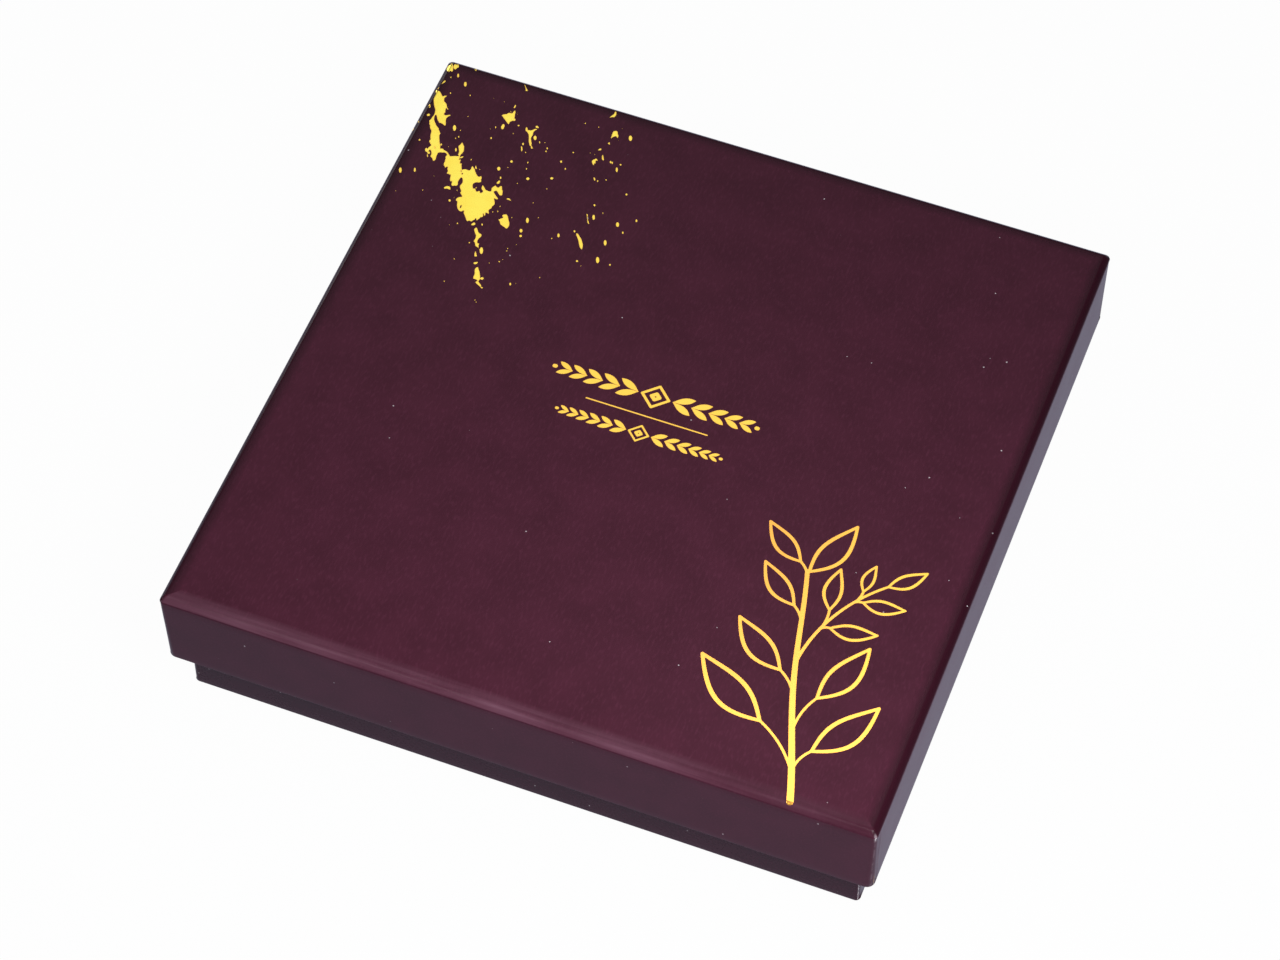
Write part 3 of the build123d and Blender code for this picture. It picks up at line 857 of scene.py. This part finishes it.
def speckle(x, y):
    """Field of the speckle: waves of three pitches, plus each patch's bell curve, less a level.

    The waves are stretched along the run and shoved about by other waves, which tears their edges. A drop
    of the spray is an oval near one of the patches. No foil lies over a fold close to an upright corner.
    """
    draw = np.random.default_rng(speckle_seed)
    point = (x + 1j * y) / run_direction
    torn = point.real / torn_stretch + 1j * point.imag
    shove = waves(torn, draw, shove_pitch, shove_waves) + 1j * waves(torn, draw, shove_pitch, shove_waves)
    torn = torn + torn_shove * shove
    field = np.full(x.shape, -speckle_level)
    for pitch, height in torn_octaves:
        field += height * waves(torn, draw, pitch, waves_in_octave)
    for across, towards_back, half_long, half_wide, weight in torn_patches:
        away = point - (across + 1j * towards_back) / run_direction
        bell = np.exp(-((away.real / half_long) ** 2) - (away.imag / half_wide) ** 2)
        field += patch_height * weight * bell
    source = np.array(torn_patches)[draw.integers(len(torn_patches), size=spray_count)]
    along, across = draw.normal(0, 1, (2, spray_count))
    along *= source[:, 2] + spray_spread_long
    across *= source[:, 3] + spray_spread_wide
    spray = source[:, 0] + 1j * source[:, 1] + (along + 1j * across) * run_direction
    drop_wide = spray_finest + (spray_coarsest - spray_finest) * draw.random(spray_count) ** 2
    drop_long = drop_wide * draw.uniform(0.9, 3.0, spray_count)
    for centre, half_long, half_wide in zip(spray, drop_long, drop_wide):
        near = (np.abs(x - centre.real) < spray_reach) & (np.abs(y - centre.imag) < spray_reach)
        away = point[near] - centre / run_direction
        field[near] = np.maximum(field[near], 1 - np.hypot(away.real / half_long, away.imag / half_wide))
    inner, outer = np.sort(np.abs([x, y]), axis=0)
    before_fold = np.maximum(lid_half - bevel_width - outer, lid_half - foil_off_corner - inner)
    return np.minimum(field, before_fold / mm)


stamped("foil_speckle", speckle, -83 * mm, -22 * mm, 15.4 * mm, 80.3 * mm, 0.16 * mm)

# The studio: a pale floor that the walls mirror, an even dim sky with one bright patch high at the back,
# which the flat panel mirrors to the camera, and four soft lamps.
floor_half = 1.6
floor_drop = 0.05 * mm
sky_level, sky_patch = 0.17, 0.92
sky_colour = (0.96, 0.98, 1.04)
patch_towards, patch_edge = (-0.2, 0.53, 0.82), (0.89, 0.97)
camera_lift, gloss_lift = 0.975, 0.85
floor_gloss_tint = (0.78, 0.77, 1.0)


def backdrop_share(finish):
    """Share of plain white in a backdrop, one for the camera's own rays and one for gloss and glass."""
    rays = ("Is Camera Ray", "Is Glossy Ray", "Is Transmission Ray")
    seen, gloss, through = (finish.node("ShaderNodeLightPath", {}, {}, ray) for ray in rays)
    return seen * camera_lift + (gloss + through) * gloss_lift


def pale_floor():
    """Pale grey paper floor, seen as white: most of what the camera sees of it is light of its own.

    The rest is the paper itself, which keeps a trace of the box's shadow. Gloss sees it tinted.
    """
    finish = Finish(bpy.data.materials.new("pale_floor"))
    cloud = finish.noise(60 * mm, 3)
    colour = finish.mix(cloud.rise(0.3, 0.7), (0.42, 0.43, 0.455), (0.44, 0.45, 0.475))
    matt = finish.node("ShaderNodeBsdfPrincipled", {}, {"Base Color": colour, "Roughness": 0.9})
    seen = finish.node("ShaderNodeLightPath", {}, {}, "Is Camera Ray")
    tint = finish.mix(seen, floor_gloss_tint, (1, 1, 1))
    white = finish.node("ShaderNodeEmission", {}, {"Color": tint, "Strength": 1.0})
    both = finish.node("ShaderNodeMixShader", {}, {"Fac": backdrop_share(finish), 1: matt, 2: white})
    finish.node("ShaderNodeOutputMaterial", {}, {"Surface": both})
    return finish.made


corners = np.array([[-1, -1, 0], [1, -1, 0], [1, 1, 0], [-1, 1, 0]]) * floor_half - [0, 0, floor_drop]
floor_mesh = bpy.data.meshes.new("floor")
floor_mesh.from_pydata(corners.tolist(), [], [(0, 1, 2, 3)])
floor_mesh.materials.append(pale_floor())
floor = bpy.data.objects.new("floor", floor_mesh)
bpy.context.scene.collection.objects.link(floor)

studio = Finish(bpy.data.worlds.new("studio"))
direction = studio.node("ShaderNodeTexCoord", {}, {}, "Generated")
towards = studio.node(
    "ShaderNodeVectorMath", {"operation": "DOT_PRODUCT"}, {0: direction, 1: patch_towards}, "Value"
)
glow = towards.rise(*patch_edge) * sky_patch + sky_level
sky = studio.node("ShaderNodeBackground", {}, {"Color": (*sky_colour, 1), "Strength": glow})
white = studio.node("ShaderNodeBackground", {}, {"Color": (1, 1, 1, 1), "Strength": 1.0})
seen = studio.node("ShaderNodeLightPath", {}, {}, "Is Camera Ray")
both = studio.node("ShaderNodeMixShader", {}, {"Fac": seen, 1: sky, 2: white})
studio.node("ShaderNodeOutputWorld", {}, {"Surface": both})
bpy.context.scene.world = studio.made


def soft_light(name, place, aim, length, width, power):
    """Soft light at a place, turned to shine on a point, its length level. The camera doesn't see it."""
    lamp = bpy.data.lights.new(name, "AREA")
    lamp.shape = "RECTANGLE"
    lamp.size = length
    lamp.size_y = width
    lamp.energy = power
    light = bpy.data.objects.new(name, lamp)
    light.location = place
    away = np.array(place) - np.array(aim)
    tilt = math.atan2(math.hypot(away[0], away[1]), away[2])
    light.rotation_euler = (tilt, 0, math.atan2(away[0], -away[1]))
    light.visible_camera = False
    bpy.context.scene.collection.objects.link(light)


# The key stands high at the front right, and a narrow strip high at the front left. A weak lamp over the
# back hazes the panel, and a wide low one fills the back left.
soft_light("key_light", (0.15, -0.18, 0.27), (0.02, -0.07, 0.035), 0.14, 0.14, 1.27)
soft_light("front_strip", (-0.10, -0.155, 0.27), (-0.03, -0.08, 0.035), 0.20, 0.05, 0.21)
soft_light("back_lamp", (-0.02, 0.15, 0.49), (0.02, -0.05, 0.035), 0.12, 0.12, 0.10)
soft_light("back_fill", (-0.40, 0.40, 0.10), (0.0, 0.0, 0.02), 0.40, 0.16, 0.70)

# The camera, at the photograph's viewing angle: turned 21 degrees to the right of the front and 55 above
# it. The box stands a little off the middle of the picture, so the camera is moved across by the same.
camera_turn = math.radians(21.0)
camera_climb = math.radians(55.25)
camera_distance = 895.6 * mm
camera_across, camera_up = -1.94 * mm, 8.08 * mm
sensor_width = 36.0
focal_pixels, picture_pixels = 3996.1, 1280
focal_length = focal_pixels * sensor_width / picture_pixels
back = np.array([
    math.sin(camera_turn) * math.cos(camera_climb),
    -math.cos(camera_turn) * math.cos(camera_climb),
    math.sin(camera_climb),
])
right = np.array([math.cos(camera_turn), math.sin(camera_turn), 0])
camera_data = bpy.data.cameras.new("camera")
camera_data.lens = focal_length
camera_data.sensor_width = sensor_width
camera_data.clip_start = 0.05
camera = bpy.data.objects.new("camera", camera_data)
camera.location = back * camera_distance + right * camera_across + np.cross(back, right) * camera_up
camera.rotation_euler = (math.pi / 2 - camera_climb, 0, camera_turn)
bpy.context.scene.collection.objects.link(camera)
bpy.context.scene.camera = camera
bpy.context.scene.view_settings.view_transform = "Standard"
